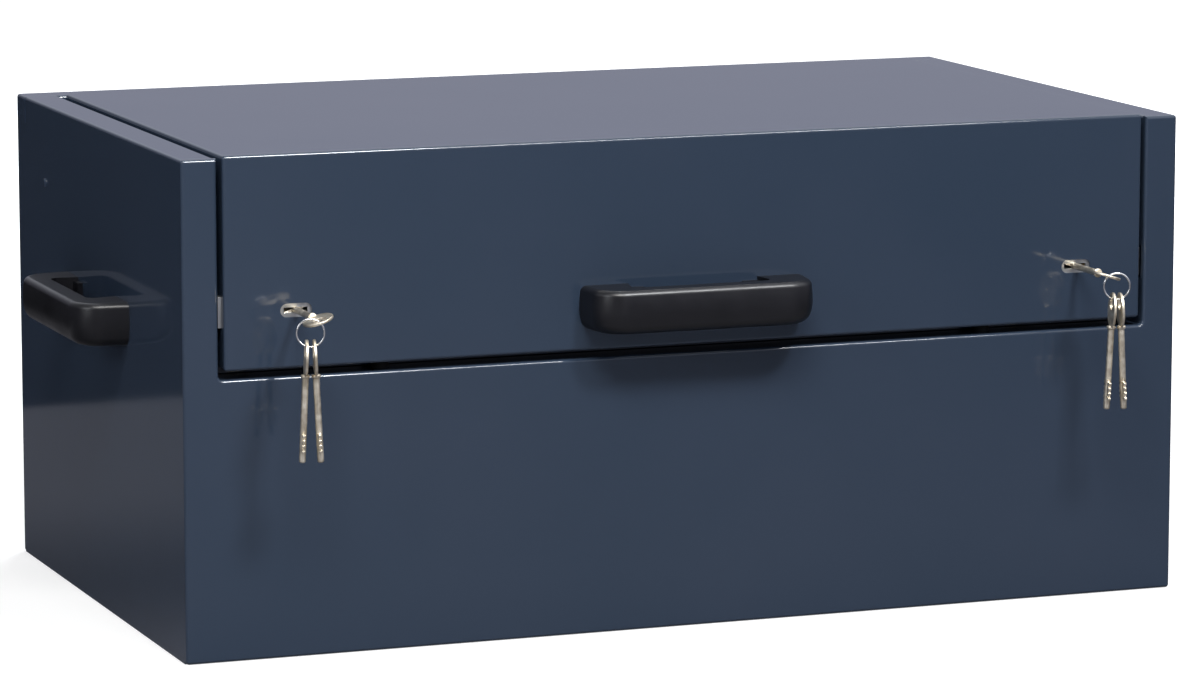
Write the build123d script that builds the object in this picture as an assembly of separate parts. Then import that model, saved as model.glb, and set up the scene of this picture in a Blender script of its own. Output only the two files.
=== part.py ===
from build123d import *
import os
from math import atan2, cos, degrees, radians, sin

os.makedirs("parts", exist_ok=True)

# Millimetres. The origin is the middle of the case's underside, with X to the right, Y to the
# rear and Z up. Pieces are built for the left side, at negative X, and mirrored for the right.

# Case
width = 985.0
depth = 570.0
height = 458.0
sheet = 2.0              # steel sheet of the case and lid
bend = 3.0               # outside radius of every fold
edge_return = 6.0        # how far the front and rear sheets turn round the case's corners
rim = 33.0               # width of the top rim, and of the posts beside the lid's apron
rim_lip = 25.0           # depth of the fold at the rim's inner edge
sill_height = 258.0      # top of the front sheet between the posts
opening_corner = 4.0     # radius where a post meets the sill
pan_flange = 27.0        # height of the base's edge strips
fixing_spacing_x = 760.0  # holes for bolting the case to a floor
fixing_spacing_y = 400.0
fixing_hole = 5.5

# Lid
lid_gap = 5.0            # between the lid and each post
apron_gap = 8.0          # between the apron and the sill
lid_proud = 2.5          # lid above the rims
apron_proud = 2.0        # apron in front of the posts
apron_depth = 34.0       # fold round the back of the apron, which holds the locks
lid_return = 22.0        # fold under the top's other edges
liner_height = 135.0     # closing sheet behind the apron
rib_count = 3
rib_spacing = 230.0
rib_width = 44.0
rib_depth = 18.0
rib_flange = 16.0
rib_sheet = 1.5

# Posts behind the front sheet, sill and buffers
jamb_depth = 44.0
sill_depth = 34.0
upstand = 20.0
buffer_radius = 8.0
buffer_spacing = 600.0
buffer_gap = 0.3

# Hinge
knuckle_radius = 4.5
pin_radius = 2.5
pin_play = 0.05
hinge_leaf = 2.0
leaf_drop = 24.0
hinge_drop = 5.5         # pin below the rim's top
hinge_play = 0.5         # between a knuckle and the sheet beside it
hinge_length = 864.0
knuckle_count = 11
knuckle_gap = 0.4
notch_play = 1.2

# Gas struts. Both ball studs stand at the same distance from the hinge pin, so a strut turns
# by half the lid's angle on each of them.
strut_reach = 200.0
strut_angle = 72.0       # between the two studs, seen from the hinge pin, with the lid shut
lid_stud_drop = 17.0     # lid stud below the hinge pin
strut_x = 432.0
ball_radius = 5.0
ball_play = 0.35
stud_neck = 2.6
stud_base = 5.0
socket_radius = 8.0
socket_length = 12.0
socket_stem = 5.0
fitting_length = 20.0
tube_radius = 9.0
tube_wall = 1.0
tube_end = 3.0           # closed end of the tube
rod_radius = 4.0
rod_play = 0.06
rod_showing = 6.0        # bare rod with the lid shut
gland_length = 9.0
piston_length = 8.0
piston_play = 0.08
piston_rest = 0.6        # between the piston and the tube's closed end
bracket_sheet = 2.0
bracket_width = 24.0
bracket_flange = 14.0
bracket_below = 24.0
rivet_height = 382.0
rivet_head = 4.5
rivet_dome = 1.8
rivet_shank = 2.4

# Handles
handle_length = 220.0
handle_height = 41.0
handle_reach = 48.0
handle_foot = 46.0
handle_grip = 20.0
handle_corner = 28.0
handle_taper = 6.0
handle_brow = 5.0        # rounding of the grip's upper edge
handle_belly = 8.0       # rounding of its lower edge
foot_tab = 15.0
foot_tab_height = 34.0
foot_tab_thickness = 5.0
front_handle_x = -4.0    # it stands a little left of the middle
front_handle_rise = 39.5  # above the apron's lower edge
side_handle_z = 285.0
side_handle_y = 0.0
screw_radius = 3.0
screw_play = 0.2
screw_head_radius = 5.6
screw_head_height = 3.2
nut_radius = 5.8
nut_height = 5.0
nut_play = 0.05
screw_end = 1.0          # screw beyond its nut

# Locks
lock_x = 387.0
lock_rise = 52.5         # above the apron's lower edge
keyhole_length = 30.0
keyhole_height = 12.5
lock_length = 106.0
lock_height = 70.0
lock_side_gap = 1.0      # between the lock and the lid's side fold
lock_wall = 2.0
lock_depth = 26.5        # case without its cover
bolt_height = 28.0
bolt_thickness = 12.0
bolt_rest = 4.0          # nose beyond the lid's edge when drawn back
bolt_throw = 15.0        # over the key's half turn from level
bolt_head_length = 26.0
bolt_tail = 3.0
tail_rail = 5.5          # strip of the tail above and below its window
bolt_chamfer = 1.0
bolt_play = 0.35
bolt_socket_play = 1.6
lever_count = 3
lever_thickness = 2.2
lever_space = 0.6
lever_radius = 6.0
lever_post_radius = 3.0
lever_post_play = 0.08
lever_post_inset = 10.0
lever_post_rise = 21.5
stump_radius = 2.0
stump_setback = 3.6
lever_lift = 6.5
lever_brow = 3.0         # top of the levers above their post
lever_belly = 2.0        # their lower edge below the key's axis
cover_screw_radius = 2.0
cover_screw_inset = 5.5

# Keys
key_roll = 18.0          # how far the inserted keys lean from level
shank_radius = 3.0
shank_length = 50.0
shank_play = 0.08
bit_width = 20.5
bit_thickness = 2.6
bit_cuts = (2.4, 1.2, 3.0)  # depths of the three cuts in each bit
bit_play = 0.4
key_slot_play = 1.0      # round the bits, in the lock's face
bit_sweep_play = 1.0
tip_length = 10.0
collar_radius = 4.2
collar_length = 3.0
bow_half_width = 14.0
bow_half_length = 16.5
bow_hole = 6.0
bow_hole_offset = 6.0    # from the bow's middle, away from the shank
bow_thickness = 2.6
bow_overlap = 1.5
ring_radius = 12.4
ring_wire = 1.0
ring_play = 0.5
ring_turn = -13.5        # rings and spares hang turned this far about the upright, both the same way
spare_offset = 3.5
spare_splay = 2.6

# Places worked out from the sizes above
front_y = -depth / 2
rear_y = depth / 2
side_x = width / 2
post_x = side_x - rim
lid_x = post_x - lid_gap
lid_top = height + lid_proud
apron_y = front_y - apron_proud
apron_low = sill_height + apron_gap
lock_z = apron_low + lock_rise
front_handle_z = apron_low + front_handle_rise
hinge_y = rear_y - rim - knuckle_radius - hinge_play
hinge_z = height - hinge_drop
lid_rear_y = hinge_y - knuckle_radius - hinge_play
jamb_y = front_y + edge_return
jamb_top = height - rim_lip
inside_apron = apron_y + sheet
fold = bend - sheet / 2
bolt_y = jamb_y + 2 * bolt_play + bolt_thickness / 2
tail_y = bolt_y + bolt_thickness / 2 - bolt_tail
bit_start = inside_apron + lock_wall + bit_play
bit_length = tail_y + bolt_tail - bit_start
collar_y = bit_start - shank_length
bow_y = collar_y - collar_length - bow_half_length + bow_overlap
ring_y = bow_y - bow_hole_offset
rim_edge = bow_half_width * (1 - (bow_hole_offset / bow_half_length) ** 2) ** 0.5
rim_arm = (rim_edge + bow_hole) / 2


def block(x0, x1, y0, y1, z0, z1):
    """A box between two corners."""
    return Pos((x0 + x1) / 2, (y0 + y1) / 2, (z0 + z1) / 2) * Box(abs(x1 - x0), abs(y1 - y0), abs(z1 - z0))


def rod_along(axis, radius, start, length):
    """A round bar from start, along "X", "Y" or "Z"; a negative length runs the other way."""
    turn = {"X": Rotation(0, 90, 0), "Y": Rotation(-90, 0, 0), "Z": Rotation(0, 0, 0)}[axis]
    step = {"X": Vector(1, 0, 0), "Y": Vector(0, 1, 0), "Z": Vector(0, 0, 1)}[axis]
    middle = Vector(*start) + step * (length / 2)
    return Pos(middle) * turn * Cylinder(radius, abs(length))


def folded(plane, corners, thickness, radius, length):
    """Sheet folded along the corners of its middle line, and drawn out square to the plane."""
    return extrude(plane * trace(FilletPolyline(*corners, radius=radius), thickness), length)


def right_of(piece):
    return mirror(piece, Plane.YZ)


def both(piece):
    """A left-hand piece and its mirror image, as one group."""
    return Compound(children=[*piece.solids(), *right_of(piece).solids()])


def save(piece, name):
    export_step(piece, f"parts/{name}.step")


def on_plane(edge, axis, value):
    """Whether an edge lies in the plane where its X, Y or Z is value."""
    low, high = edge.bounding_box().min, edge.bounding_box().max
    return abs(getattr(low, axis) - value) < 0.01 and abs(getattr(high, axis) - value) < 0.01


def front_block(inset, back):
    """The front sheet as a solid slab with its lid opening, moved in by inset on every outer face."""
    slab = block(-side_x + inset, side_x - inset, front_y + inset, back, inset, height - inset)
    opening = post_x + inset
    slab -= block(-opening, opening, front_y - 1, back + 1, sill_height - inset, height + 1)
    upright = slab.edges().filter_by(Axis.Y)
    inner = [e for e in upright if abs(e.center().Z - sill_height + inset) < 0.01]
    slab = fillet(inner, opening_corner + inset)
    upright = slab.edges().filter_by(Axis.Y)
    outer = [e for e in upright if abs(abs(e.center().X) - side_x + inset) < 0.01]
    slab = fillet(outer, bend - inset)
    face = [e for e in slab.edges() if on_plane(e, "Y", front_y + inset)]
    return fillet(face, bend - inset)


def front_panel():
    back = front_y + edge_return
    return front_block(0, back) - front_block(sheet, back + 1)


def corner_block(half, face, far, low, top, wall_depth, top_depth, inset):
    """A solid bent like an L: an upright slab at face and a level one that reaches to far. Its
    outer faces are moved in by inset and its inner ones are left open."""
    way = 1 if far > face else -1
    reach = 1 if inset else 0
    wall = block(-half + inset, half - inset, face + way * inset, face + way * (wall_depth + reach),
                 low + inset, top - inset)
    level = block(-half + inset, half - inset, face + way * inset, far - way * inset,
                  top - top_depth - reach, top - inset)
    solid = wall + level
    open_y = face + way * (wall_depth + reach)
    open_z = top - top_depth - reach
    edges = [e for e in solid.edges() if not on_plane(e, "Y", open_y) and not on_plane(e, "Z", open_z)]
    return fillet(edges, bend - inset)


def corner_sheet(half, face, far, low, top, wall_depth, top_depth):
    """The same form pressed from sheet."""
    outer = corner_block(half, face, far, low, top, wall_depth, top_depth, 0)
    return outer - corner_block(half, face, far, low, top, wall_depth, top_depth, sheet)


def rear_panel():
    return corner_sheet(side_x, rear_y, rear_y - rim, 0, height, edge_return, rim_lip)


def screw_spots():
    """How far each handle screw stands from the handle's middle."""
    spot = handle_length / 2 - handle_foot - foot_tab / 2
    return (-spot, spot)


def left_side_panel():
    """Side wall, rim and the rim's inner lip, folded in one."""
    wall, inner = -side_x + sheet / 2, -post_x - sheet / 2
    section = [(wall, 0), (wall, height - sheet / 2), (inner, height - sheet / 2), (inner, jamb_top)]
    start, end = front_y + edge_return, rear_y - edge_return
    panel = Pos(0, end, 0) * folded(Plane.XZ, section, sheet, fold, end - start)
    panel -= block(-side_x - 1, -post_x + 1, rear_y - rim, rear_y, jamb_top, height + 1)
    for spot in screw_spots():
        panel -= rod_along("X", screw_radius + screw_play,
                           (-side_x - 1, side_handle_y + spot, side_handle_z), sheet + 2)
    return panel - rod_along("X", rivet_shank, (-side_x - 1, rivet_y, rivet_height), sheet + 2)


def base_pan():
    """Floor sheet, with an upright strip welded along each edge to carry the walls."""
    half, front, rear = side_x - sheet, front_y + edge_return, rear_y - edge_return
    floor = block(-half, half, front, rear, 0, sheet)
    for x in (-fixing_spacing_x / 2, fixing_spacing_x / 2):
        for y in (-fixing_spacing_y / 2, fixing_spacing_y / 2):
            floor -= rod_along("Z", fixing_hole, (x, y, -1), sheet + 2)
    strips = [block(-half, half, y, y + sheet, sheet, pan_flange) for y in (front, rear - sheet)]
    strips += [block(x, x + sheet, front + sheet, rear - sheet, sheet, pan_flange)
               for x in (-half, half - sheet)]
    return Compound(children=[floor.solid(), *strips])


def bolt_room(play):
    """The space that the bolt slides in, wider by play all round."""
    across, up = bolt_thickness / 2 + play, bolt_height / 2 + play
    return block(-side_x + sheet, -lid_x + apron_depth, bolt_y - across, bolt_y + across,
                 lock_z - up, lock_z + up)


def left_jamb():
    """Boxes in the back of the post and takes the lock's bolt."""
    inner = -post_x - sheet / 2
    back = jamb_y + jamb_depth - sheet / 2
    section = [(inner, jamb_y), (inner, back), (-side_x + sheet, back)]
    low = sill_height - sheet
    jamb = Pos(0, 0, low) * folded(Plane.XY, section, sheet, fold, jamb_top - low)
    return jamb - bolt_room(bolt_socket_play)


def sill_channel():
    """Level strip behind the front sheet's top edge, with a lip that a bar can't get past."""
    back = jamb_y + sill_depth - sheet / 2
    section = [(jamb_y, sill_height - sheet / 2), (back, sill_height - sheet / 2),
               (back, sill_height + upstand)]
    return Pos(-post_x, 0, 0) * folded(Plane.YZ, section, sheet, fold, 2 * post_x)


def lid_buffer():
    gap = apron_gap - buffer_gap
    spot = (-buffer_spacing / 2, jamb_y + sill_depth / 2, sill_height)
    button = rod_along("Z", buffer_radius, spot, gap)
    return chamfer(button.edges().sort_by(Axis.Z)[-1:], buffer_radius / 6)


def keyhole(x):
    return extrude(Plane.XZ * Pos(x, lock_z) * SlotOverall(keyhole_length, keyhole_height),
                   sheet, both=True)


def lid_skin():
    """Top, apron and the folds round them."""
    skin = corner_sheet(lid_x, apron_y, lid_rear_y, apron_low, lid_top, apron_depth, lid_return)
    for x in (-lock_x, lock_x):
        skin -= Pos(0, apron_y + sheet / 2, 0) * keyhole(x)
    for spot in screw_spots():
        skin -= rod_along("Y", screw_radius + screw_play,
                          (front_handle_x + spot, apron_y - 1, front_handle_z), sheet + 2)
    skin -= bolt_room(bolt_play)
    return skin - right_of(bolt_room(bolt_play))


def apron_liner():
    """Sheet that closes the back of the apron, with a shelf folded over the locks."""
    back = apron_y + apron_depth + sheet / 2
    section = [(back, apron_low), (back, apron_low + liner_height),
               (inside_apron, apron_low + liner_height)]
    half = lid_x - bend
    return Pos(-half, 0, 0) * folded(Plane.YZ, section, sheet, fold, 2 * half)


def lid_ribs():
    """Top-hat stiffeners under the lid's top."""
    under = lid_top - sheet - rib_sheet / 2
    foot, top = rib_width / 2, rib_width / 2 - rib_depth / 3
    section = [(-foot - rib_flange, under), (-foot, under), (-top, under - rib_depth),
               (top, under - rib_depth), (foot, under), (foot + rib_flange, under)]
    front, rear = apron_y + apron_depth + sheet, lid_rear_y - bend
    rib = Pos(0, rear, 0) * folded(Plane.XZ, section, rib_sheet, bend / 2, rear - front)
    first = -rib_spacing * (rib_count - 1) / 2
    return Compound(children=[(Pos(first + i * rib_spacing, 0, 0) * rib).solid() for i in range(rib_count)])


def hinge_half(leaf_y, first):
    """One hinge leaf: a strip and every second knuckle, starting with number first."""
    pitch = hinge_length / knuckle_count
    half = hinge_length / 2
    low = hinge_z - leaf_drop
    leaf = block(-half, half, leaf_y, leaf_y + hinge_leaf, low, hinge_z)
    other = knuckle_radius + notch_play
    for i in range(knuckle_count):
        start = -half + i * pitch
        if i % 2 == first:
            leaf += rod_along("X", knuckle_radius, (start + knuckle_gap / 2, hinge_y, hinge_z),
                              pitch - knuckle_gap)
        else:
            leaf -= block(start - knuckle_gap / 2, start + pitch + knuckle_gap / 2, leaf_y - 1,
                          leaf_y + hinge_leaf + 1, hinge_z - other, hinge_z + 1)
    return leaf - rod_along("X", pin_radius + pin_play, (-half - 1, hinge_y, hinge_z), hinge_length + 2)


def hinge_pin():
    return rod_along("X", pin_radius, (-hinge_length / 2, hinge_y, hinge_z), hinge_length)


def from_hinge(angle):
    """The point at strut_reach from the hinge pin, angle degrees above the way to the front."""
    return (hinge_y - strut_reach * cos(radians(angle)), hinge_z + strut_reach * sin(radians(angle)))


lid_stud_angle = -degrees(atan2(lid_stud_drop, (strut_reach**2 - lid_stud_drop**2) ** 0.5))
case_stud = from_hinge(lid_stud_angle - strut_angle)
lid_stud = from_hinge(lid_stud_angle)
strut_length = 2 * strut_reach * sin(radians(strut_angle / 2))
tube_length = strut_length - 2 * fitting_length - rod_showing
rivet_y = case_stud[0] - bracket_width / 2 - bracket_flange / 2 - bracket_sheet


def along_strut(piece):
    """Puts a piece that stands on the origin, up Z, on the case's stud with its top to the lid's."""
    lean = degrees(atan2(case_stud[0] - lid_stud[0], lid_stud[1] - case_stud[1]))
    return Pos(-strut_x, *case_stud) * Rotation(lean, 0, 0) * piece


def ball_stud(base_x, y, z):
    """Ball on a neck that stands in from base_x, with a flange at its foot."""
    stud = rod_along("X", stud_neck, (base_x, y, z), -strut_x - base_x)
    stud += rod_along("X", stud_base, (base_x, y, z), ball_radius / 2)
    return stud + Pos(-strut_x, y, z) * Sphere(ball_radius)


def case_bracket_face():
    return -strut_x - 2 * ball_radius - ball_radius


def case_strut_bracket():
    """Upright top-hat bracket on the side wall, which carries the case's stud."""
    y = case_stud[0]
    foot = -side_x + sheet + bracket_sheet / 2
    top = case_bracket_face() - bracket_sheet / 2
    half = bracket_width / 2
    section = [(foot, y - half - bracket_flange), (foot, y - half), (top, y - half + bend / 2),
               (top, y + half - bend / 2), (foot, y + half), (foot, y + half + bracket_flange)]
    low = case_stud[1] - bracket_below
    high = rivet_height + bracket_below / 2
    bracket = Pos(0, 0, low) * folded(Plane.XY, section, bracket_sheet, bend / 2, high - low)
    return bracket - rod_along("X", rivet_shank, (-side_x, rivet_y, rivet_height), 3 * sheet)


def bracket_rivet():
    """Domed rivet through the side wall and the bracket's foot."""
    head = Pos(-side_x, rivet_y, rivet_height) * Rotation(0, -90, 0) * Cylinder(
        rivet_head, rivet_dome, align=(Align.CENTER, Align.CENTER, Align.MIN))
    head = chamfer(head.edges().sort_by(Axis.X)[:1], rivet_dome * 0.6)
    body = rod_along("X", rivet_shank, (-side_x, rivet_y, rivet_height), sheet + bracket_sheet)
    tail = rod_along("X", rivet_head * 0.8,
                     (-side_x + sheet + bracket_sheet, rivet_y, rivet_height), rivet_dome)
    return head + body + tail


def lid_strut_bracket():
    """Plate on the lid's side fold, which carries the lid's stud."""
    y, z = lid_stud
    inner = -lid_x + sheet
    half = bracket_width / 2 + bend
    plate = block(inner, inner + bracket_sheet, y - half, y + half, z - half / 2, lid_top - bend)
    low = [e for e in plate.edges().filter_by(Axis.X) if e.center().Z < z]
    return fillet(low, half / 3)


def end_fitting():
    """Socket that snaps on a ball stud, with the stem that the strut screws into, up Z."""
    socket = rod_along("X", socket_radius, (-socket_length / 2, 0, 0), socket_length)
    socket += rod_along("Z", socket_stem, (0, 0, 0), fitting_length)
    socket -= Sphere(ball_radius + ball_play)
    return socket - rod_along("X", ball_radius - 2 * ball_play, (0, 0, 0), -socket_length)


def strut_rod():
    end = strut_length - fitting_length - tube_end - piston_rest
    rod = rod_along("Z", rod_radius, (0, 0, fitting_length), end - fitting_length)
    piston = tube_radius - tube_wall - piston_play
    return rod + rod_along("Z", piston, (0, 0, end - piston_length), piston_length)


def strut_tube():
    start = fitting_length + rod_showing
    tube = rod_along("Z", tube_radius, (0, 0, start), tube_length)
    tube -= rod_along("Z", tube_radius - tube_wall, (0, 0, start + gland_length),
                      tube_length - gland_length - tube_end)
    tube = chamfer([e for e in tube.edges().filter_by(GeomType.CIRCLE)
                    if abs(e.radius - tube_radius) < 0.01], tube_wall)
    return tube - rod_along("Z", rod_radius + rod_play, (0, 0, start - 1), gland_length + 2)


def handle():
    """Moulded bridge handle, which stands out along -Y from a wall at Y = 0."""
    half, reach = handle_length / 2, handle_reach
    plan = make_face(Polyline((-half, 0), (-half + handle_taper, -reach), (half - handle_taper, -reach),
                              (half, 0), close=True))
    plan = fillet([v for v in plan.vertices() if v.Y < -1], handle_corner)
    body = extrude(plan, handle_height / 2, both=True)
    for z, radius in ((handle_height / 2, handle_brow), (-handle_height / 2, handle_belly)):
        rails = [e for e in body.edges() if on_plane(e, "Z", z) and not on_plane(e, "Y", 0)]
        body = fillet(rails, radius)
    gap = half - handle_foot
    deep = reach - handle_grip
    hollow = make_face(Polyline((-gap, 1), (-gap - handle_taper, -deep), (gap + handle_taper, -deep),
                                (gap, 1), close=True))
    hollow = fillet([v for v in hollow.vertices() if v.Y < -1], handle_belly)
    body -= extrude(hollow, handle_height, both=True)
    for spot in screw_spots():
        out = 1 if spot > 0 else -1
        tab = block(spot - out * foot_tab / 2, spot + out * (foot_tab / 2 + handle_taper),
                    -foot_tab_thickness, 0, -foot_tab_height / 2, foot_tab_height / 2)
        tab -= rod_along("Y", screw_radius + screw_play, (spot, 1, 0), -foot_tab_thickness - 2)
        body += tab
    return body


def handle_screw():
    """Domed screw through a handle's tab, along Y from the wall at Y = 0."""
    face = -foot_tab_thickness
    head = rod_along("Y", screw_head_radius, (0, face, 0), -screw_head_height)
    head = chamfer(head.edges().sort_by(Axis.Y)[:1], screw_head_height / 2)
    return head + rod_along("Y", screw_radius, (0, face, 0),
                            foot_tab_thickness + sheet + nut_height + screw_end)


def handle_nut():
    nut = extrude(Plane.XZ * RegularPolygon(nut_radius, 6), -nut_height)
    nut = Pos(0, sheet, 0) * nut
    return nut - rod_along("Y", screw_radius + nut_play, (0, 0, 0), nut_height + 2 * sheet)


def on_apron(piece):
    return Pos(front_handle_x, apron_y, front_handle_z) * piece


def on_left_wall(piece):
    return Pos(-side_x, side_handle_y, side_handle_z) * Rotation(0, 0, -90) * piece


def pair(piece):
    """A handle's two screws or nuts."""
    return Compound(children=[(Pos(spot, 0, 0) * piece).solid() for spot in screw_spots()])


# The lock's own places, for the left side
lock_edge = -lid_x + sheet + lock_side_gap
lock_back = inside_apron + lock_depth
post_spot = (lock_edge + lock_length - lever_post_inset, lock_z + lever_post_rise)
bolt_nose = -lid_x - bolt_rest
bolt_heel = bolt_nose + bolt_head_length
sweep = bit_width / 2 + bit_sweep_play
bolt_moved = bolt_throw * key_roll / 180
stump_x = -lock_x - sweep - 2 * stump_radius - stump_setback
stump_z = lock_z + bolt_height / 3


def cover_spots():
    low, high = lock_z - lock_height / 2 + cover_screw_inset, lock_z + lock_height / 2 - cover_screw_inset
    near, far = lock_edge + cover_screw_inset, lock_edge + lock_length - cover_screw_inset
    return [(near, low), (near, high), (far, low)]


def lock_case():
    """Plated tray behind the apron. Its face shows through the keyhole."""
    end = lock_edge + lock_length
    low, high = lock_z - lock_height / 2, lock_z + lock_height / 2
    case = block(lock_edge, end, inside_apron, lock_back, low, high)
    case -= block(lock_edge + lock_wall, end - lock_wall, inside_apron + lock_wall, lock_back + 1,
                  low + lock_wall, high - lock_wall)
    for x, z in cover_spots():
        case += rod_along("Y", cover_screw_radius * 2, (x, inside_apron + lock_wall, z),
                          lock_depth - lock_wall)
        case -= rod_along("Y", cover_screw_radius, (x, lock_back, z), -lock_depth / 2)
    case -= bolt_room(bolt_play)
    case -= rod_along("Y", shank_radius + shank_play, (-lock_x, inside_apron - 1, lock_z), lock_wall + 2)
    across, up = bit_width / 2 + key_slot_play, bit_thickness / 2 + key_slot_play
    return case - block(-lock_x - across, -lock_x + across, inside_apron - 1,
                        inside_apron + lock_wall + 1, lock_z - up, lock_z + up)


def lock_cover():
    end = lock_edge + lock_length
    cover = block(lock_edge, end, lock_back, lock_back + lock_wall,
                  lock_z - lock_height / 2, lock_z + lock_height / 2)
    for x, z in cover_spots():
        cover -= rod_along("Y", cover_screw_radius, (x, lock_back - 1, z), lock_wall + 2)
    cover -= rod_along("Y", lever_post_radius, (post_spot[0], lock_back - 1, post_spot[1]), lock_wall + 2)
    return cover - rod_along("Y", shank_radius + shank_play, (-lock_x, lock_back - 1, lock_z), lock_wall + 2)


def lock_screws():
    screws = []
    for x, z in cover_spots():
        back = lock_back + lock_wall
        head = rod_along("Y", cover_screw_radius * 1.9, (x, back, z), cover_screw_radius / 2)
        screws.append(head + rod_along("Y", cover_screw_radius - nut_play, (x, back, z), -lock_depth / 3))
    return Compound(children=[s.solid() for s in screws])


def lever_post():
    return rod_along("Y", lever_post_radius, (post_spot[0], inside_apron + lock_wall, post_spot[1]),
                     lock_depth)


def lock_bolt():
    """Bolt head, the tail that the key's bits work in, and the stump that the levers hold."""
    half, mid = bolt_height / 2, lock_z
    head = block(bolt_nose, bolt_heel, bolt_y - bolt_thickness / 2, bolt_y + bolt_thickness / 2,
                 mid - half, mid + half)
    nose = [e for e in head.edges() if on_plane(e, "X", bolt_nose)]
    head = chamfer(nose, bolt_chamfer)
    near, far = -lock_x - sweep - bolt_moved, -lock_x + sweep + bolt_throw - bolt_moved
    end, rail = far + half / 2, sweep + tail_rail
    tail = block(bolt_heel, end, tail_y, tail_y + bolt_tail, mid - rail, mid + rail)
    tail -= block(near, far, tail_y - 1, tail_y + bolt_tail + 1, mid - sweep, mid + sweep)
    for z in (mid - sweep, mid + sweep):
        tail -= rod_along("Y", bolt_tail * 0.8, ((near + far) / 2, tail_y - 1, z), bolt_tail + 2)
    stump_y = inside_apron + lock_wall + lever_space
    return head + tail + rod_along("Y", stump_radius, (stump_x, stump_y, stump_z), tail_y - stump_y)


def lock_levers():
    """Sprung levers on one post: each has a hollow belly over the key and a gate for the stump."""
    px, pz = post_spot
    far = bolt_heel + bolt_moved + lever_space
    top, low = pz + lever_brow, lock_z - lever_belly
    key_side = -lock_x - sweep
    shape = make_face(Polyline((far, low), (key_side, low), (key_side + lever_belly, lock_z + lever_radius),
                               (px, pz - lever_radius), (px, pz + lever_radius),
                               (px - 2 * lever_radius, top), (far, top), close=True))
    shape += Pos(px, pz) * Circle(lever_radius)
    shape -= Pos(-lock_x, lock_z) * Circle(sweep)
    shape -= Pos(px, pz) * Circle(lever_post_radius + lever_post_play)
    play = lever_space
    reach = stump_radius + play
    x0, x1 = stump_x - bolt_throw + bolt_moved - reach, stump_x + bolt_moved + reach
    z0, z1 = stump_z - stump_radius - lever_lift - play, stump_z + stump_radius + play
    shape -= Pos((x0 + x1) / 2, (z0 + z1) / 2) * Rectangle(x1 - x0, z1 - z0)
    first = inside_apron + lock_wall + lever_space
    levers = []
    for i in range(lever_count):
        y = first + i * (lever_thickness + lever_space)
        levers.append((Pos(0, y, 0) * extrude(Plane.XZ * shape, -lever_thickness)).solid())
    return Compound(children=levers)


def blank_key():
    """A key with a bit on each side. Its shoulder is at Y = 0, the tip at +Y and the bow at -Y,
    and it lies flat in XY."""
    length = bit_length + tip_length + shank_length
    key = rod_along("Y", shank_radius, (0, -shank_length, 0), length)
    tip = [e for e in key.edges() if on_plane(e, "Y", bit_length + tip_length)]
    key = chamfer(tip, shank_radius / 3)
    half, thick = bit_width / 2, bit_thickness / 2
    bits = block(-half, half, 0, bit_length, -thick, thick)
    step = bit_length / 7
    for side in (-1, 1):
        for i, cut in enumerate(bit_cuts):
            start = step * (2 * i + 1)
            bits -= block(side * half, side * (half - cut), start, start + step, -thick - 1, thick + 1)
    key += bits
    collar = rod_along("Y", collar_radius, (0, -shank_length, 0), -collar_length)
    key += chamfer(collar.edges().filter_by(GeomType.CIRCLE), collar_length / 5)
    bow = extrude(Ellipse(bow_half_width, bow_half_length), bow_thickness / 2, both=True)
    bow = chamfer(bow.edges().filter_by(GeomType.ELLIPSE), bow_thickness / 5)
    bow -= Pos(0, -bow_hole_offset, 0) * Cylinder(bow_hole, 2 * bow_thickness)
    return key + Pos(0, bow_y - bit_start, 0) * bow


def inserted_key():
    """The left key, rolled with its outer rim down."""
    return Pos(-lock_x, bit_start, lock_z) * Rotation(0, -key_roll, 0) * blank_key()


ring_pivot = (-lock_x - rim_arm * cos(radians(key_roll)), lock_z - rim_arm * sin(radians(key_roll)))
rim_corner = (((rim_edge - bow_hole) / 2) ** 2 + (bow_thickness / 2) ** 2) ** 0.5
ring_hang = ring_radius - ring_wire - ring_play - rim_corner
ring_middle = (ring_pivot[0], ring_pivot[1] - ring_hang)


def hung_turned(piece, angle):
    """Turns a ring or spare about the upright through the ring's middle."""
    middle = Pos(ring_middle[0], ring_y, 0)
    return middle * Rotation(0, 0, angle) * middle.inverse() * piece


def key_ring():
    """Round wire ring through the bow, square to the key."""
    return Pos(ring_middle[0], ring_y, ring_middle[1]) * Rotation(90, 0, 0) * Torus(ring_radius, ring_wire)


def spare_key(side):
    """A spare hung by its bow below the ring, edge on to the front. It splays a little to its own
    side, which is -1 or 1."""
    drop = (ring_radius**2 - spare_offset**2) ** 0.5
    point = Pos(ring_middle[0] + side * spare_offset, ring_y, ring_middle[1] - drop)
    hung = bow_hole - ring_wire - ring_play
    key = Rotation(-90, 0, 0) * Rotation(0, 90, 0) * Pos(0, bit_start - ring_y, 0) * blank_key()
    return point * Rotation(0, -side * spare_splay, 0) * Pos(0, 0, -hung) * key


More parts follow.
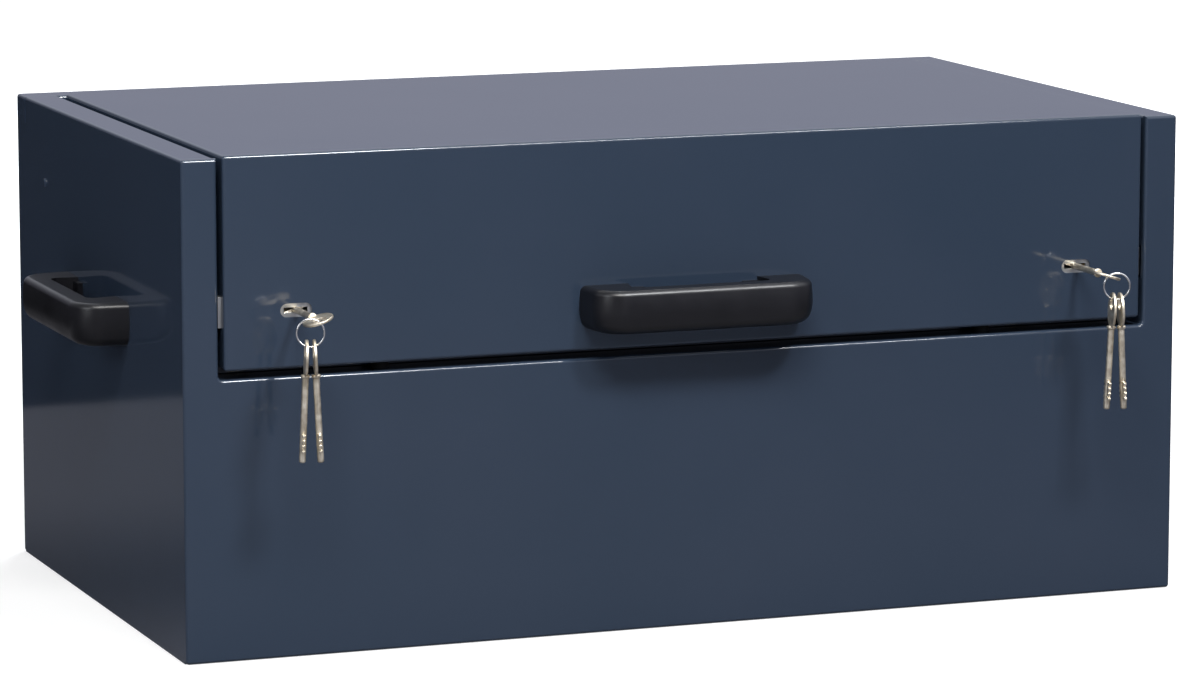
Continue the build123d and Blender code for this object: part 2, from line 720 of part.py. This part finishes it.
save(front_panel(), "front_panel")
save(rear_panel(), "rear_panel")
save(left_side_panel(), "left_side_panel")
save(right_of(left_side_panel()), "right_side_panel")
save(base_pan(), "base_pan")
save(left_jamb(), "left_jamb")
save(right_of(left_jamb()), "right_jamb")
save(sill_channel(), "sill_channel")
save(both(lid_buffer()), "lid_buffers")
save(lid_skin(), "lid_skin")
save(apron_liner(), "apron_liner")
save(lid_ribs(), "lid_ribs")
save(hinge_half(rear_y - rim - hinge_leaf, 0), "hinge_case_leaf")
save(hinge_half(lid_rear_y, 1), "hinge_lid_leaf")
save(hinge_pin(), "hinge_pin")
save(both(case_strut_bracket()), "case_strut_brackets")
save(both(ball_stud(case_bracket_face(), *case_stud)), "case_ball_studs")
save(both(bracket_rivet()), "bracket_rivets")
save(both(lid_strut_bracket()), "lid_strut_brackets")
save(both(ball_stud(-lid_x + sheet + bracket_sheet, *lid_stud)), "lid_ball_studs")

lower_fitting = along_strut(end_fitting())
turned_over = Pos(0, 0, strut_length) * Rotation(0, 0, 180) * Rotation(0, 180, 0)
upper_fitting = along_strut(turned_over * end_fitting())
for name, piece in (("strut_rod", along_strut(strut_rod())), ("strut_rod_fitting", lower_fitting),
                    ("strut_tube", along_strut(strut_tube())), ("strut_tube_fitting", upper_fitting)):
    save(piece, f"left_{name}")
    save(right_of(piece), f"right_{name}")

save(on_apron(handle()), "front_handle")
save(on_left_wall(handle()), "left_handle")
save(right_of(on_left_wall(handle())), "right_handle")
save(on_apron(pair(handle_screw())), "front_handle_screws")
save(on_apron(pair(handle_nut())), "front_handle_nuts")
save(both(on_left_wall(pair(handle_screw()))), "side_handle_screws")
save(both(on_left_wall(pair(handle_nut()))), "side_handle_nuts")

for name, piece in (("lock_case", lock_case()), ("lock_cover", lock_cover()), ("lock_screws", lock_screws()),
                    ("lever_post", lever_post()), ("lock_levers", lock_levers()), ("lock_bolt", lock_bolt()),
                    ("key", inserted_key())):
    save(piece, f"left_{name}")
    save(right_of(piece), f"right_{name}")

for name, piece in (("key_ring", key_ring()), ("spare_key_a", spare_key(-1)), ("spare_key_b", spare_key(1))):
    save(hung_turned(piece, ring_turn), f"left_{name}")
    save(right_of(hung_turned(piece, -ring_turn)), f"right_{name}")
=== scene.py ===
from math import cos, pi, radians, sin

import bmesh
import bpy
from mathutils import Matrix, Vector


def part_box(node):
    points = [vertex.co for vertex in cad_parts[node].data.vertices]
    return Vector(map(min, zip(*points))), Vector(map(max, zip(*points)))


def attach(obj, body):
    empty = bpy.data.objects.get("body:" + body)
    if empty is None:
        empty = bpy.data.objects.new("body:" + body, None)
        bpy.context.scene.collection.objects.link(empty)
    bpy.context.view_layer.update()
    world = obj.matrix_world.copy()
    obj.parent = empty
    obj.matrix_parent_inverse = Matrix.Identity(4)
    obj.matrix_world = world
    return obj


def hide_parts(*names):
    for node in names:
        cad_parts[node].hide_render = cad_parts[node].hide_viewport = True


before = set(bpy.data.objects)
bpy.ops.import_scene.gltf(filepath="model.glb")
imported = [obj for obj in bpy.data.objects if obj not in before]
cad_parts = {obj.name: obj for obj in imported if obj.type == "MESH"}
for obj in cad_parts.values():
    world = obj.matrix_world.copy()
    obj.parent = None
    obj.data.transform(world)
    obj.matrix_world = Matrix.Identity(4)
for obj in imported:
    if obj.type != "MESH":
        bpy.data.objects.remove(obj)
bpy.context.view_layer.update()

# Camera: it stands at the photograph's place, a little above the lid and to the left of the box,
# and looks through a long lens. The box nearly fills the frame.
azimuth = radians(-20.79)
elevation = radians(9.14)
distance = 5.269
aim = Vector((0.0126, 0, 0.2162))
focal_pixels = 5401
frame_pixels = 1198
sensor = 36
far_limit = 100
back = Vector((sin(azimuth) * cos(elevation), -cos(azimuth) * cos(elevation), sin(elevation)))
camera = bpy.data.objects.new("camera", bpy.data.cameras.new("camera"))
bpy.context.scene.collection.objects.link(camera)
camera.data.sensor_width = sensor
camera.data.lens = focal_pixels / frame_pixels * sensor
camera.data.clip_end = far_limit
camera.location = aim + back * distance
camera.rotation_mode = "QUATERNION"
camera.rotation_quaternion = (-back).to_track_quat("-Z", "Y")
bpy.context.scene.camera = camera
bpy.context.scene.view_settings.view_transform = "Standard"

# Studio: soft light from two panels high in front of the box, a strip that shows in reflections
# only and draws the bright line on the bends, and fills at the left and behind. The room is white
# to the eye, and a pale lilac grey, darker to the left, in what the paint and the metal reflect.
room_light = (0.13, 0.14, 0.165, 1)
room_white = (1, 1, 1, 1)
room_low = (0.36, 0.365, 0.45)
room_high = (1.35, 1.4, 1.5)
world = bpy.data.worlds.new("room")
bpy.context.scene.world = world
world.use_nodes = True
tree = world.node_tree
tree.nodes.clear()
output = tree.nodes.new("ShaderNodeOutputWorld")
direction = tree.nodes.new("ShaderNodeTexCoord")
slope = tree.nodes.new("ShaderNodeSeparateXYZ")
tree.links.new(direction.outputs["Generated"], slope.inputs[0])


def tinted(tree, value, start, end, first, last):
    """A colour that runs from first to last while the value runs from start to end."""
    ramp = tree.nodes.new("ShaderNodeValToRGB")
    low, high = ramp.color_ramp.elements
    low.position = start
    low.color = (*first, 1)
    high.position = end
    high.color = (*last, 1)
    tree.links.new(value, ramp.inputs["Fac"])
    return ramp.outputs["Color"]


def graded(tree, value, start, end, low, high, ease="SMOOTHSTEP"):
    """A number that runs from low to high while the value runs from start to end."""
    step = tree.nodes.new("ShaderNodeMapRange")
    step.interpolation_type = ease
    step.inputs["From Min"].default_value = start
    step.inputs["From Max"].default_value = end
    step.inputs["To Min"].default_value = low
    step.inputs["To Max"].default_value = high
    tree.links.new(value, step.inputs["Value"])
    return step.outputs[0]


def by_ray(tree, lit, mirrored, seen):
    """Joins three shaders: one that lights the box, one that gloss shows, and one for the eye."""
    ray = tree.nodes.new("ShaderNodeLightPath")
    shiny = tree.nodes.new("ShaderNodeMath")
    shiny.operation = "MAXIMUM"
    tree.links.new(ray.outputs["Is Glossy Ray"], shiny.inputs[0])
    tree.links.new(ray.outputs["Is Transmission Ray"], shiny.inputs[1])
    unseen = tree.nodes.new("ShaderNodeMixShader")
    tree.links.new(shiny.outputs[0], unseen.inputs[0])
    tree.links.new(lit.outputs[0], unseen.inputs[1])
    tree.links.new(mirrored.outputs[0], unseen.inputs[2])
    whole = tree.nodes.new("ShaderNodeMixShader")
    tree.links.new(ray.outputs["Is Camera Ray"], whole.inputs[0])
    tree.links.new(unseen.outputs[0], whole.inputs[1])
    tree.links.new(seen.outputs[0], whole.inputs[2])
    return whole.outputs[0]


lit = tree.nodes.new("ShaderNodeBackground")
lit.inputs["Color"].default_value = room_light
mirrored = tree.nodes.new("ShaderNodeBackground")
room_tone = tinted(tree, slope.outputs["Z"], start=0.15, end=0.6, first=room_low, last=room_high)
left_shade = graded(tree, slope.outputs["X"], start=-0.4, end=0.1, low=0.28, high=0.97)
tree.links.new(room_tone, mirrored.inputs["Color"])
tree.links.new(left_shade, mirrored.inputs["Strength"])
seen = tree.nodes.new("ShaderNodeBackground")
seen.inputs["Color"].default_value = room_white
tree.links.new(by_ray(tree, lit, mirrored, seen), output.inputs["Surface"])


def panel_light(name, place, target, size, watts, colour):
    lamp = bpy.data.lights.new(name, "AREA")
    lamp.shape = "RECTANGLE"
    lamp.size, lamp.size_y = size
    lamp.energy = watts
    lamp.color = colour
    holder = bpy.data.objects.new(name, lamp)
    bpy.context.scene.collection.objects.link(holder)
    holder.location = place
    holder.rotation_mode = "QUATERNION"
    holder.rotation_quaternion = (Vector(target) - Vector(place)).to_track_quat("-Z", "Y")
    return holder


warm_white = (1, 0.98, 0.95)
cool_white = (0.95, 0.98, 1)
plain_white = (1, 1, 1)
sky_white = (0.93, 0.96, 1)
box_middle = (0, 0, 0.3)
box_front = (0, -0.3, 0.3)
box_left = (-0.2, 0, 0.2)
panel_light("left_panel", place=(-1, -2.55, 3.5), target=box_left, size=(1.9, 1),
            watts=132, colour=warm_white)
panel_light("right_panel", place=(0.65, -2.6, 3.3), target=box_front, size=(0.6, 0.5),
            watts=88, colour=cool_white)
edge_strip = panel_light("edge_strip", place=(1.2, -2.6, 3.1), target=box_front, size=(1.5, 0.3),
                         watts=80, colour=plain_white)
edge_strip.visible_diffuse = False
panel_light("left_fill", place=(-3.4, -1.6, 1.7), target=box_middle, size=(1.6, 1.6),
            watts=34, colour=sky_white)
rear_fill = panel_light("rear_fill", place=(2.2, 3.4, 2.2), target=box_middle, size=(2.4, 2),
                        watts=190, colour=sky_white)
rear_fill.visible_glossy = False

# Floor: a plain pale sheet, white to the eye but for the box's soft shadow. In reflections it glows
# a mid grey. This is a painted reflection, with painted shade that darkens it towards the box and to
# the right. Behind the box it lightens again as far as floor_end, and that paints the side wall's
# low bright band.
floor_half = 14
floor_drop = 0.0004      # below the box's underside
floor_end = 1.105
floor_fade = 0.008
floor_mirrored = (0.31, 0.31, 0.345, 1)
floor_lit = (0.32, 0.32, 0.33, 1)
floor_seen = (0.5, 0.5, 0.5, 1)
floor_mesh = bpy.data.meshes.new("floor")
floor_mesh.from_pydata([(-floor_half, -floor_half, 0), (floor_half, -floor_half, 0),
                        (floor_half, floor_half, 0), (-floor_half, floor_half, 0)],
                       [], [(0, 1, 2, 3)])
floor = bpy.data.objects.new("floor", floor_mesh)
floor.location.z = -floor_drop
bpy.context.scene.collection.objects.link(floor)
floor_paper = bpy.data.materials.new("floor_paper")
floor_paper.use_nodes = True
tree = floor_paper.node_tree
tree.nodes.clear()
output = tree.nodes.new("ShaderNodeOutputMaterial")
place = tree.nodes.new("ShaderNodeTexCoord")
along = tree.nodes.new("ShaderNodeSeparateXYZ")
tree.links.new(place.outputs["Object"], along.inputs[0])
# Painted shade in the floor's reflected glow: darker towards the box from the front and from behind,
# and darker to the right.
front_painted_shade = graded(tree, along.outputs["Y"], start=-0.6, end=0.1, low=1.85, high=0.49)
rear_painted_shade = graded(tree, along.outputs["Y"], start=0.1, end=0.6, low=0.5, high=1.04)
right_painted_shade = graded(tree, along.outputs["X"], start=-0.2, end=1.5, low=1, high=0.26)
end_tone = graded(tree, along.outputs["Y"], start=floor_end - floor_fade, end=floor_end + floor_fade,
                  low=1, high=0.08)
strength = front_painted_shade
for tone in (rear_painted_shade, right_painted_shade, end_tone):
    product = tree.nodes.new("ShaderNodeMath")
    product.operation = "MULTIPLY"
    tree.links.new(strength, product.inputs[0])
    tree.links.new(tone, product.inputs[1])
    strength = product.outputs[0]
# The glow that gloss shows is a painted reflection of the floor, and its strength carries the
# painted shade above.
mirrored = tree.nodes.new("ShaderNodeEmission")
mirrored.inputs["Color"].default_value = floor_mirrored
tree.links.new(strength, mirrored.inputs["Strength"])
lit = tree.nodes.new("ShaderNodeBsdfDiffuse")
lit.inputs["Color"].default_value = floor_lit
shadowed = tree.nodes.new("ShaderNodeBsdfDiffuse")
shadowed.inputs["Color"].default_value = floor_seen
far = tree.nodes.new("ShaderNodeVectorMath")
far.operation = "LENGTH"
tree.links.new(place.outputs["Object"], far.inputs[0])
whitened = tree.nodes.new("ShaderNodeEmission")
white_tone = graded(tree, far.outputs["Value"], start=0.7, end=2.4, low=0.62, high=1)
tree.links.new(white_tone, whitened.inputs["Strength"])
seen = tree.nodes.new("ShaderNodeAddShader")
tree.links.new(shadowed.outputs[0], seen.inputs[0])
tree.links.new(whitened.outputs[0], seen.inputs[1])
tree.links.new(by_ray(tree, lit, mirrored, seen), output.inputs["Surface"])
floor_mesh.materials.append(floor_paper)

# Case sheets: 2 mm steel, folded, welded at the corners and sprayed with a gloss slate blue
# powder that flows out to a faint orange peel.
noise_low = 0.3          # most of a noise's values lie between these two
noise_high = 0.7


def noise(tree, place, scale, detail):
    cloud = tree.nodes.new("ShaderNodeTexNoise")
    cloud.inputs["Scale"].default_value = scale
    cloud.inputs["Detail"].default_value = detail
    tree.links.new(place.outputs["Object"], cloud.inputs["Vector"])
    return cloud.outputs["Fac"]


def bumped(tree, height, strength, distance, normal=None):
    """The surface's direction with a fine relief on it. normal is one that it already has."""
    bump = tree.nodes.new("ShaderNodeBump")
    bump.inputs["Strength"].default_value = strength
    bump.inputs["Distance"].default_value = distance
    tree.links.new(height, bump.inputs["Height"])
    if normal:
        tree.links.new(normal, bump.inputs["Normal"])
    return bump.outputs["Normal"]


def slate_paint(name):
    """Gloss powder coat: a small change of tone over the sheet, a fine peel and a slow ripple."""
    paint = bpy.data.materials.new(name)
    paint.use_nodes = True
    tree = paint.node_tree
    shader = tree.nodes["Principled BSDF"]
    shader.inputs["IOR"].default_value = 1.5
    place = tree.nodes.new("ShaderNodeTexCoord")
    drift = noise(tree, place, scale=3.5, detail=5)
    tone = tinted(tree, drift, noise_low, noise_high, first=(0.026, 0.041, 0.068),
                  last=(0.031, 0.045, 0.073))
    gloss = graded(tree, drift, start=0, end=1, low=0.05, high=0.1, ease="LINEAR")
    peel = bumped(tree, noise(tree, place, scale=420, detail=2), strength=0.05, distance=0.0004)
    ripple = bumped(tree, noise(tree, place, scale=4.2, detail=1), strength=0.2, distance=0.002,
                    normal=peel)
    tree.links.new(tone, shader.inputs["Base Color"])
    tree.links.new(gloss, shader.inputs["Roughness"])
    tree.links.new(ripple, shader.inputs["Normal"])
    return paint


def finish_nodes(material, *names):
    """Gives the construction's own pieces their finish."""
    for name in names:
        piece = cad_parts[name]
        piece.data.materials.clear()
        piece.data.materials.append(material)


case_paint = slate_paint("case_paint")
finish_nodes(case_paint, "front_panel", "rear_panel", "left_side_panel", "right_side_panel",
             "base_pan", "left_jamb", "right_jamb", "sill_channel")

# Lid sheets: the top and apron folded from one sheet, the sheet that closes the apron's back, and
# three top-hat stiffeners under the top, all steel in the case's paint.
finish_nodes(case_paint, "lid_skin", "apron_liner", "lid_ribs")


# Buffers: two soft black rubber buttons, moulded and fixed on the sill, where the apron shuts on
# them.
def mottled(name, dark, light, roughness, metal=0, cloud=45, grain=1400, relief=0.12, edge=0):
    """A finish whose tone and gloss drift a little over the piece, with a fine grain. edge is the
    radius, in metres, that polishing or plating leaves on its corners."""
    finish = bpy.data.materials.new(name)
    finish.use_nodes = True
    tree = finish.node_tree
    shader = tree.nodes["Principled BSDF"]
    shader.inputs["Metallic"].default_value = metal
    place = tree.nodes.new("ShaderNodeTexCoord")
    drift = noise(tree, place, scale=cloud, detail=4)
    tone = tinted(tree, drift, noise_low, noise_high, first=dark, last=light)
    gloss = graded(tree, drift, noise_low, noise_high, *roughness, ease="LINEAR")
    corner = None
    if edge:
        worn = tree.nodes.new("ShaderNodeBevel")
        worn.samples = 4
        worn.inputs["Radius"].default_value = edge
        corner = worn.outputs["Normal"]
    specks = noise(tree, place, scale=grain, detail=2)
    surface = bumped(tree, specks, strength=relief, distance=0.0002, normal=corner)
    tree.links.new(tone, shader.inputs["Base Color"])
    tree.links.new(gloss, shader.inputs["Roughness"])
    tree.links.new(surface, shader.inputs["Normal"])
    return finish


buffer_rubber = mottled("buffer_rubber", dark=(0.003, 0.003, 0.0035), light=(0.006, 0.006, 0.006),
                        roughness=(0.7, 0.85))
finish_nodes(buffer_rubber, "lid_buffers")

# Hinge: two steel leaves with rolled knuckles along the rear rim, welded in and painted with the
# case and lid, on one zinc-plated pin.
pin_zinc = mottled("pin_zinc", dark=(0.5, 0.51, 0.52), light=(0.66, 0.66, 0.65),
                   roughness=(0.2, 0.34), metal=1, cloud=120)
finish_nodes(case_paint, "hinge_case_leaf", "hinge_lid_leaf")
finish_nodes(pin_zinc, "hinge_pin")

# Gas struts: a hard-chromed rod in a tube lacquered satin black, with a plated socket at each
# end that snaps on a ball stud. The studs and the lid's brackets are plated too.
rod_chrome = mottled("rod_chrome", dark=(0.7, 0.7, 0.72), light=(0.78, 0.78, 0.8),
                     roughness=(0.06, 0.12), metal=1, relief=0.02)
tube_lacquer = mottled("tube_lacquer", dark=(0.008, 0.008, 0.009), light=(0.013, 0.013, 0.014),
                       roughness=(0.24, 0.34), relief=0.08)
socket_zinc = mottled("socket_zinc", dark=(0.42, 0.42, 0.42), light=(0.58, 0.58, 0.56),
                      roughness=(0.26, 0.42), metal=1, cloud=90, edge=0.0004)
for side in ("left", "right"):
    finish_nodes(rod_chrome, f"{side}_strut_rod")
    finish_nodes(tube_lacquer, f"{side}_strut_tube")
    finish_nodes(socket_zinc, f"{side}_strut_rod_fitting", f"{side}_strut_tube_fitting")
finish_nodes(socket_zinc, "case_ball_studs", "lid_ball_studs", "lid_strut_brackets")

# Strut brackets on the side walls: top-hat sections folded from steel, riveted through the wall
# and painted with it. The rivet's domed head shows outside.
finish_nodes(case_paint, "case_strut_brackets", "bracket_rivets")

# Handles: bridge handles moulded in black nylon with a fine spark-eroded grain, screwed on at
# both feet. The grip swells a little at half height and tucks in towards its bottom edge.
handle_nylon = mottled("handle_nylon", dark=(0.0035, 0.0035, 0.005), light=(0.006, 0.006, 0.0085),
                       roughness=(0.28, 0.4), cloud=18, grain=1600, relief=0.3)
finish_nodes(handle_nylon, "front_handle", "left_handle", "right_handle")
handle_swell = 0.0018
handle_tuck = 0.0035
tuck_height = 0.5        # share of the grip's height, from its bottom edge
handle_slices = 16
crease = radians(32)     # corners sharper than this aren't shaded round
x_axis = 0
y_axis = 1


def mould_handle(side, body, along, out, wall):
    """The handle with its swell. along and out number the grip's axis and the one away from the
    wall, and wall is that box corner, 0 or 1, which lies on the wall."""
    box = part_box(f"{side}_handle")
    low, high = box
    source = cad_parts[f"{side}_handle"]
    form = bmesh.new()
    form.from_mesh(source.data)
    form.transform(source.matrix_world)
    for k in range(1, handle_slices):
        level = low.z + (high.z - low.z) * k / handle_slices
        bmesh.ops.bisect_plane(form, geom=form.verts[:] + form.edges[:] + form.faces[:],
                               plane_co=(0, 0, level), plane_no=(0, 0, 1))
    middle = (low[along] + high[along]) / 2
    half_length = (high[along] - low[along]) / 2
    depth = high[out] - low[out]
    for vert in form.verts:
        rise = (vert.co.z - low.z) / (high.z - low.z)
        tuck = max(1 - rise / tuck_height, 0) ** 2
        grown = handle_swell * (1 - (2 * rise - 1) ** 2) - handle_tuck * tuck
        vert.co[along] = middle + (vert.co[along] - middle) * (1 + grown / half_length)
        vert.co[out] = box[wall][out] + (vert.co[out] - box[wall][out]) * (1 + grown / depth)
    mesh = bpy.data.meshes.new(f"{side}_grip")
    form.to_mesh(mesh)
    form.free()
    mesh.shade_smooth()
    mesh.set_sharp_from_angle(angle=crease)
    mesh.materials.append(handle_nylon)
    piece = bpy.data.objects.new(f"{side}_grip", mesh)
    bpy.context.scene.collection.objects.link(piece)
    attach(piece, body)
    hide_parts(f"{side}_handle")


bpy.context.view_layer.update()
mould_handle("front", "lid", along=x_axis, out=y_axis, wall=1)
mould_handle("left", "case", along=y_axis, out=x_axis, wall=1)
mould_handle("right", "case", along=y_axis, out=x_axis, wall=0)

# Handle fixings: pan-head screws with a cross recess through each foot's lug, cold-headed, and
# hexagon nuts inside. Both are zinc-plated.
screw_zinc = mottled("screw_zinc", dark=(0.5, 0.5, 0.5), light=(0.68, 0.68, 0.66),
                     roughness=(0.18, 0.32), metal=1, cloud=140, edge=0.0005)
finish_nodes(screw_zinc, "front_handle_nuts", "side_handle_nuts")
head_radius = 0.0056
head_height = 0.0032
head_steps = 6
screw_radius = 0.003
screw_chamfer = 0.0006
recess_reach = 0.0031
recess_half_width = 0.00055
recess_depth = 0.0018
recess_mouth = 1.1       # size of the recess's cutter above the head, as a share of the cross
recess_floor = 0.6       # and at its floor
front_low, front_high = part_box("front_handle_screws")
side_low, side_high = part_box("side_handle_screws")
screw_length = front_high.y - front_low.y


def lofted(outlines):
    """A closed mesh through outlines of the same number of points; a single point closes an end."""
    form = bmesh.new()
    rings = [[form.verts.new(point) for point in outline] for outline in outlines]
    sides = max(len(ring) for ring in rings)
    for upper, lower in zip(rings, rings[1:]):
        for i in range(sides):
            steps = ((upper, i), (lower, i), (lower, i + 1), (upper, i + 1))
            corners = [ring[k % len(ring)] for ring, k in steps]
            form.faces.new(list(dict.fromkeys(corners)))
    for ring in (rings[0], rings[-1]):
        if len(ring) > 1:
            form.faces.new(ring)
    bmesh.ops.recalc_face_normals(form, faces=form.faces)
    mesh = bpy.data.meshes.new("form")
    form.to_mesh(mesh)
    form.free()
    return mesh


def round_outline(radius, z, sides=32):
    turns = [2 * pi * i / sides for i in range(sides)]
    return [(radius * cos(turn), radius * sin(turn), z) for turn in turns]


def cross_outline(scale, z):
    points = []
    for quarter in range(4):
        turn = Matrix.Rotation(quarter * pi / 2, 3, "Z")
        for x, y in ((recess_reach, -recess_half_width), (recess_reach, recess_half_width),
                     (recess_half_width, recess_half_width)):
            points.append(turn @ Vector((x * scale, y * scale, z)))
    return points


crown = [(0, 0, 0)]
slopes = [i * pi / 2 / head_steps for i in range(1, head_steps + 1)]
dome = [(head_radius * sin(slope), head_height * (cos(slope) - 1)) for slope in slopes]
shank = [(screw_radius, -head_height), (screw_radius, screw_chamfer - screw_length),
         (screw_radius - screw_chamfer, -screw_length)]
rounds = [round_outline(radius, z) for radius, z in dome + shank]
screw = bpy.data.objects.new("screw", lofted([crown] + rounds))
recess = bpy.data.objects.new("recess", lofted([cross_outline(recess_mouth, recess_depth / 4),
                                                cross_outline(recess_floor, -recess_depth)]))
for tool in (screw, recess):
    bpy.context.scene.collection.objects.link(tool)
cut = screw.modifiers.new("recess", "BOOLEAN")
cut.object = recess
cut.operation = "DIFFERENCE"
bpy.context.view_layer.update()
recessed = screw.evaluated_get(bpy.context.evaluated_depsgraph_get())
screw_mesh = bpy.data.meshes.new_from_object(recessed)
for tool in (screw, recess):
    bpy.data.objects.remove(tool)


def fit_screws(name, node, body, spots):
    """Screws as one piece; each spot is the head's top and the way that it faces."""
    group = bmesh.new()
    for top, outward in spots:
        copy = screw_mesh.copy()
        turn = Vector(outward).to_track_quat("Z", "Y").to_matrix().to_4x4()
        copy.transform(Matrix.Translation(top) @ turn)
        group.from_mesh(copy)
    mesh = bpy.data.meshes.new(name)
    group.to_mesh(mesh)
    group.free()
    mesh.shade_smooth()
    mesh.set_sharp_from_angle(angle=crease)
    mesh.materials.append(screw_zinc)
    piece = bpy.data.objects.new(name, mesh)
    bpy.context.scene.collection.objects.link(piece)
    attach(piece, body)
    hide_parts(node)


front_level = (front_low.z + front_high.z) / 2
front_spots = [((x, front_low.y, front_level), (0, -1, 0))
               for x in (front_low.x + head_radius, front_high.x - head_radius)]
fit_screws("front_pan_screws", "front_handle_screws", "lid", front_spots)
side_level = (side_low.z + side_high.z) / 2
side_spots = [((x, y, side_level), (out, 0, 0))
              for x, out in ((side_low.x, -1), (side_high.x, 1))
              for y in (side_low.y + head_radius, side_high.y - head_radius)]
fit_screws("side_pan_screws", "side_handle_screws", "case", side_spots)

# Locks: a pressed steel case behind the apron, its cover and the post for the levers, plated with
# bright zinc and closed by three screws. The case's face shows in the keyhole.
lock_zinc = mottled("lock_zinc", dark=(0.5, 0.51, 0.5), light=(0.7, 0.7, 0.68),
                    roughness=(0.3, 0.46), metal=1, cloud=70, grain=900, edge=0.0003)
for side in ("left", "right"):
    finish_nodes(lock_zinc, f"{side}_lock_case", f"{side}_lock_cover", f"{side}_lock_screws",
                 f"{side}_lever_post")

# Lock levers: three stamped brass plates on one post, sprung down over the key. Each has a gate
# for the bolt's stump.
lever_brass = mottled("lever_brass", dark=(0.5, 0.36, 0.14), light=(0.66, 0.5, 0.22),
                      roughness=(0.22, 0.36), metal=1, cloud=80)
finish_nodes(lever_brass, "left_lock_levers", "right_lock_levers")

# Lock bolts: solid steel bars, machined bright and plated. Each slides in its lock's case, and
# its nose stands out through the end of the apron.
bolt_steel = mottled("bolt_steel", dark=(0.66, 0.67, 0.67), light=(0.8, 0.8, 0.79),
                     roughness=(0.34, 0.5), metal=1, cloud=60, edge=0.0004)
finish_nodes(bolt_steel, "left_lock_bolt", "right_lock_bolt")

# Keys: stamped and turned brass with a stepped bit on each side, nickel-plated and handled dull.
# One stands in each lock, and two spares hang from its ring.
key_nickel = mottled("key_nickel", dark=(0.68, 0.59, 0.44), light=(0.9, 0.83, 0.7),
                     roughness=(0.36, 0.5), metal=1, cloud=160, edge=0.001)
for side in ("left", "right"):
    finish_nodes(key_nickel, f"{side}_key", f"{side}_spare_key_a", f"{side}_spare_key_b")

# Key rings: split rings, each two turns of sprung steel wire side by side, nickel-plated. The wire
# steps across from one turn to the other, and its two ends lie against that step.
ring_nickel = mottled("ring_nickel", dark=(0.74, 0.75, 0.76), light=(0.86, 0.86, 0.85),
                      roughness=(0.14, 0.26), metal=1, cloud=200, relief=0.03)
ring_wire = 0.00085      # radius of the wire
ring_radius = 0.0124     # of the wire's middle line
ring_turn = radians(-13.5)
turn_points = 56
step_angle = radians(34)
wire_starts = {"left": radians(250), "right": radians(290)}
for side, start in wire_starts.items():
    low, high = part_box(f"{side}_key_ring")
    middle = (low + high) / 2
    route = bpy.data.curves.new(f"{side}_split_ring", "CURVE")
    route.dimensions = "3D"
    route.bevel_depth = ring_wire
    route.bevel_resolution = 3
    route.use_fill_caps = True
    wire = route.splines.new("POLY")
    wire.points.add(2 * turn_points)
    for i, point in enumerate(wire.points):
        turned = (4 * pi - step_angle) * i / (2 * turn_points)
        crossed = min(max((turned - 2 * pi + step_angle) / step_angle, 0), 1)
        eased = (3 - 2 * crossed) * crossed ** 2
        spot = Matrix.Rotation(ring_turn, 3, "Z") @ Vector((
            ring_radius * cos(start + turned),
            ring_wire * (1 - 2 * eased),
            ring_radius * sin(start + turned)))
        point.co = (*(middle + spot), 1)
    ring = bpy.data.objects.new(f"{side}_split_ring", route)
    bpy.context.scene.collection.objects.link(ring)
    route.materials.append(ring_nickel)
    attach(ring, f"{side}_key_ring")
    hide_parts(f"{side}_key_ring")
